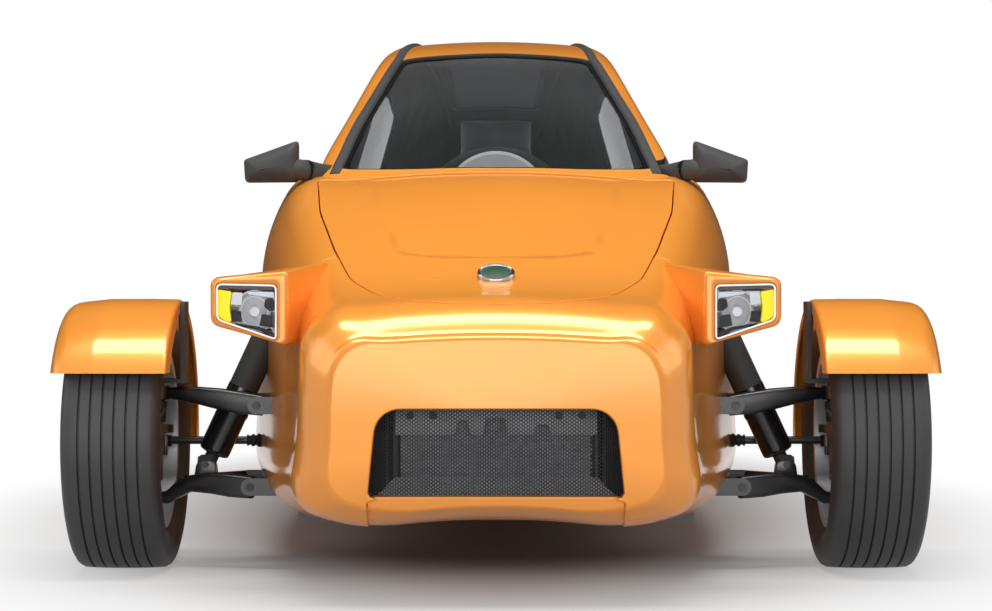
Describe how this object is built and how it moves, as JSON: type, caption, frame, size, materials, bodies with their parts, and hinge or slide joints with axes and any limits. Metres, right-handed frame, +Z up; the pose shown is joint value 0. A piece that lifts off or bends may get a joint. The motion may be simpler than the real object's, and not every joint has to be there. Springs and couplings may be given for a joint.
{
  "type": "three wheeled car",
  "caption": "Enclosed tandem-seat three wheeled car: steered front wheels under cycle fenders outside a narrow tapered body, single rear wheel, opening hood, door and hatch.",
  "frame": {"origin": "on the floor, at the middle of the overall length and width", "axes": "+Z up, the nose points to -Y, +X is the car's left side, where its door is"},
  "size_m": [1.7, 4.08, 1.23],
  "materials": {
    "paint": "gloss orange paint with clear coat",
    "black_trim": "satin black",
    "black_metal": "satin black paint",
    "grille_mesh": "black mesh",
    "window_glass": "tinted glass",
    "lamp_lens": "clear moulded lens",
    "lamp_chrome": "bright reflector",
    "mirror_face": "mirror glass",
    "mirror_shell": "dark grey plastic",
    "radiator_core": "dark finned core",
    "engine_cast": "cast block",
    "cast_part": "black cast metal",
    "brake_iron": "machined face",
    "rim_alloy": "silver alloy",
    "rubber_tread": "grooved tread",
    "lining": "dark lining",
    "seat_cover": "dark woven cover",
    "dash_skin": "grained plastic",
    "wheel_grip": "leather grip",
    "tail_red": "red lens",
    "steel_rod": "bare steel"
  },
  "bodies": {
    "chassis": {"body_shell": "paint", "roof_frame": "paint", "front_fascia": "paint", "grille": "grille_mesh", "windshield": "window_glass", "side_glass": "window_glass", "headlight_housings": "paint", "headlight_lenses": "lamp_lens", "headlight_reflectors": "lamp_chrome", "mirror_housings": "mirror_shell", "mirror_glass": "mirror_face", "radiator": "radiator_core", "engine_block": "engine_cast", "rack_housing": "black_metal", "front_crossmember": "black_metal", "upper_arms": "black_metal", "lower_arms": "black_metal", "shocks": "black_metal", "bulkheads": "lining", "floor_pan": "lining", "dashboard": "dash_skin", "seats": "seat_cover", "wheel_well": "black_trim", "swingarm": "black_metal", "tail_lamps": "tail_red", "plate_holder": "black_trim"},
    "hood": {"hood_panel": "paint"},
    "door": {"door_panel": "paint", "door_glass": "window_glass"},
    "hatch": {"hatch_panel": "paint", "hatch_glass": "window_glass"},
    "knuckle_left": {"knuckle_left": "cast_part", "fender_left": "paint"},
    "knuckle_right": {"knuckle_right": "cast_part", "fender_right": "paint"},
    "front_wheel_left": {"tyre_left": "rubber_tread", "rim_left": "rim_alloy", "brake_disc_left": "brake_iron"},
    "front_wheel_right": {"tyre_right": "rubber_tread", "rim_right": "rim_alloy", "brake_disc_right": "brake_iron"},
    "rear_wheel": {"rear_tyre": "rubber_tread", "rear_rim": "rim_alloy"},
    "steering_rack": {"steering_rack": "steel_rod"},
    "steering_wheel": {"steering_wheel_rim": "wheel_grip"}
  },
  "joints": [
    {"name": "hood_hinge", "type": "hinge", "parent": "chassis", "child": "hood", "pos_m": [0, -1.184, 0.794], "axis": [-1, 0, 0], "range_deg": [0, 55]},
    {"name": "hatch_hinge", "type": "hinge", "parent": "chassis", "child": "hatch", "pos_m": [0, 0.482, 1.223], "axis": [1, 0, 0], "range_deg": [0, 60]},
    {"name": "door_hinge", "type": "hinge", "parent": "chassis", "child": "door", "pos_m": [0.494, -1.0865, 0.4], "axis": [0, 0, -1], "range_deg": [0, 60]},
    {"name": "steer_left", "type": "hinge", "parent": "chassis", "child": "knuckle_left", "pos_m": [0.67484, -1.41, 0.2555], "axis": [-0.0854, 0, 0.9963], "range_deg": [-28, 28]},
    {"name": "steer_right", "type": "hinge", "parent": "chassis", "child": "knuckle_right", "pos_m": [-0.67484, -1.41, 0.2555], "axis": [0.0854, 0, 0.9963], "range_deg": [-28, 28]},
    {"name": "rack_slide", "type": "slide", "parent": "chassis", "child": "steering_rack", "axis": [1, 0, 0], "range_m": [-0.0588, 0.0588]},
    {"name": "steering_wheel_turn", "type": "hinge", "parent": "chassis", "child": "steering_wheel", "pos_m": [0, -0.58, 0.715], "axis": [0, 0.9135, 0.4067], "range_deg": [-336, 336]},
    {"name": "front_left_spin", "type": "hinge", "parent": "knuckle_left", "child": "front_wheel_left", "pos_m": [0.728, -1.41, 0.2555], "axis": [1, 0, 0], "continuous": true},
    {"name": "front_right_spin", "type": "hinge", "parent": "knuckle_right", "child": "front_wheel_right", "pos_m": [-0.728, -1.41, 0.2555], "axis": [1, 0, 0], "continuous": true},
    {"name": "rear_spin", "type": "hinge", "parent": "chassis", "child": "rear_wheel", "pos_m": [0, 1.384, 0.29], "axis": [1, 0, 0], "continuous": true}
  ],
  "couplings": [
    {"joint": "steer_right", "follows": "steer_left", "ratio": 1},
    {"joint": "rack_slide", "follows": "steer_left", "m_per_rad": -0.12},
    {"joint": "steering_wheel_turn", "follows": "steer_left", "ratio": 12}
  ]
}
